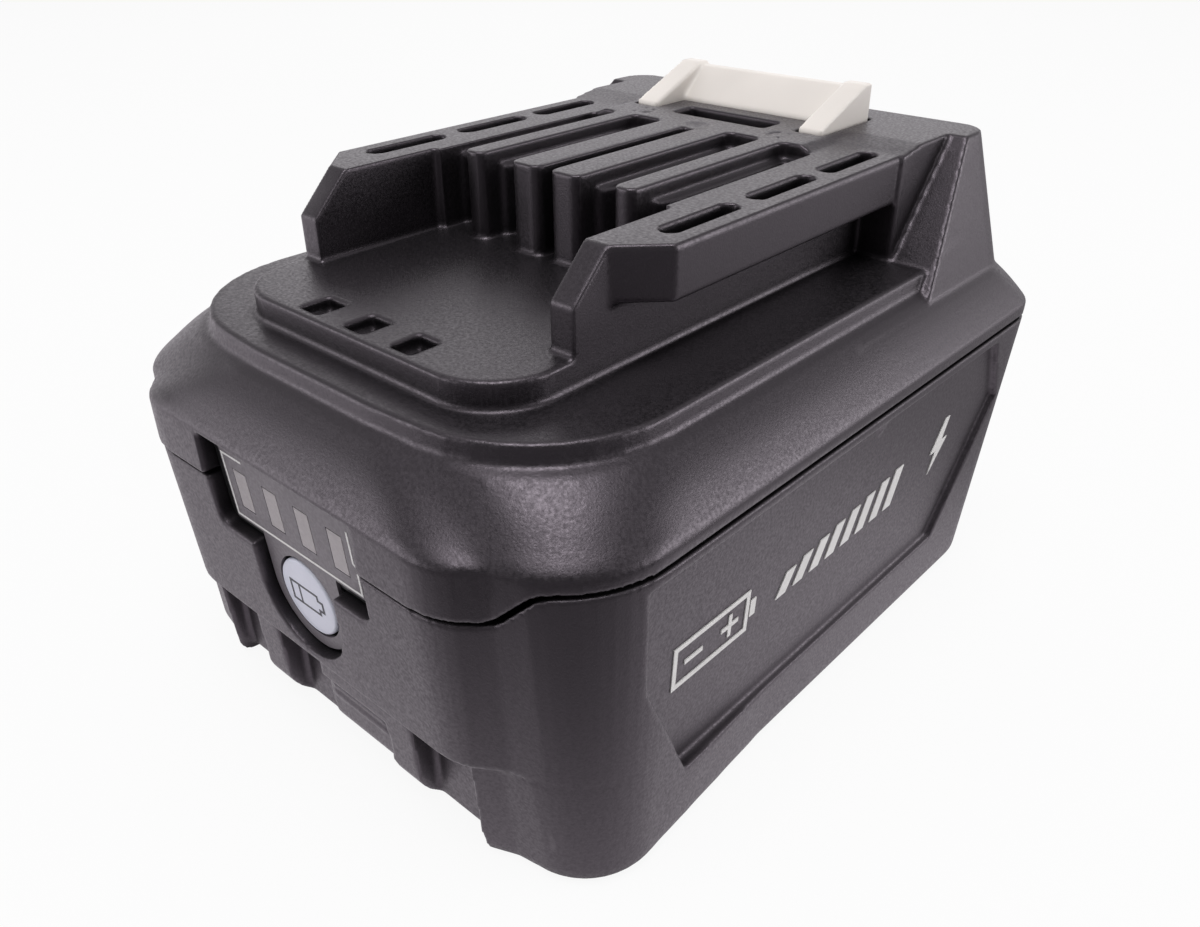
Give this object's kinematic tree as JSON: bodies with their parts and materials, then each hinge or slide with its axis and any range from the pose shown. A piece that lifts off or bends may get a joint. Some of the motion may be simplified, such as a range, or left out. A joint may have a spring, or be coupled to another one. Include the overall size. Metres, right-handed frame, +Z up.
{
  "type": "power tool battery pack",
  "caption": "Slide-on battery pack for a hand-held power tool, with flanged rails, terminal slots, a sprung white latch and a press-to-read charge gauge.",
  "frame": {"origin": "middle of the underside, at the centre of the bounding box", "axes": "+Z up out of the slide rails, -Y towards the charge gauge, +X to the right-hand side seen from the gauge"},
  "size_m": [0.0674, 0.087, 0.0586],
  "materials": {
    "case_lower": "fine-grained charcoal moulding",
    "case_upper": "fine-grained charcoal moulding",
    "latch_white": "smooth off-white moulding",
    "steel": "drawn steel",
    "gauge_black": "smooth black moulding",
    "gauge_overlay": "smoked film",
    "button_pale": "pale satin cap",
    "light_pipe": "clear light pipe, unlit",
    "circuit_board": "green solder resist",
    "led_body": "pale chip body",
    "flat_lead": "amber film",
    "cell_wrap": "shrink wrap",
    "holder": "natural moulding",
    "nickel_strip": "nickel strip",
    "fibre_sheet": "pressed fibre sheet",
    "contact_brass": "plated spring brass",
    "foam": "closed-cell foam"
  },
  "bodies": {
    "case": {"lower_case": "case_lower", "upper_case": "case_upper", "latch_spring_left": "steel", "latch_spring_right": "steel", "gauge_housing": "gauge_black", "gauge_overlay": "gauge_overlay", "light_pipes": "light_pipe", "gauge_board": "circuit_board", "gauge_leds": "led_body", "tact_switch": "gauge_black", "gauge_lead": "flat_lead", "cell_1": "cell_wrap", "cell_2": "cell_wrap", "cell_3": "cell_wrap", "cell_4": "cell_wrap", "cell_5": "cell_wrap", "cell_6": "cell_wrap", "cell_holder_front": "holder", "cell_holder_rear": "holder", "strip_front_pair": "nickel_strip", "strip_front_positive": "nickel_strip", "strip_rear_pair": "nickel_strip", "strip_rear_negative": "nickel_strip", "insulation_sheet": "fibre_sheet", "main_board": "circuit_board", "board_chips": "gauge_black", "fuse": "led_body", "contact_positive": "contact_brass", "contact_negative": "contact_brass", "signal_contacts": "contact_brass", "thermistor": "gauge_black", "case_screws": "steel", "board_screws": "steel", "rear_pad": "foam"},
    "latch": {"latch": "latch_white"},
    "gauge_button": {"gauge_button": "button_pale"}
  },
  "joints": [
    {"name": "latch_slide", "type": "slide", "parent": "case", "child": "latch", "axis": [0, 0, -1], "range_m": [0, 0.0042], "stiffness_N_per_m": 900, "deforming": ["latch_spring_left", "latch_spring_right"]},
    {"name": "gauge_button_press", "type": "slide", "parent": "case", "child": "gauge_button", "axis": [0, 0.9977, 0.0675], "range_m": [0, 0.0003], "stiffness_N_per_m": 4000}
  ]
}
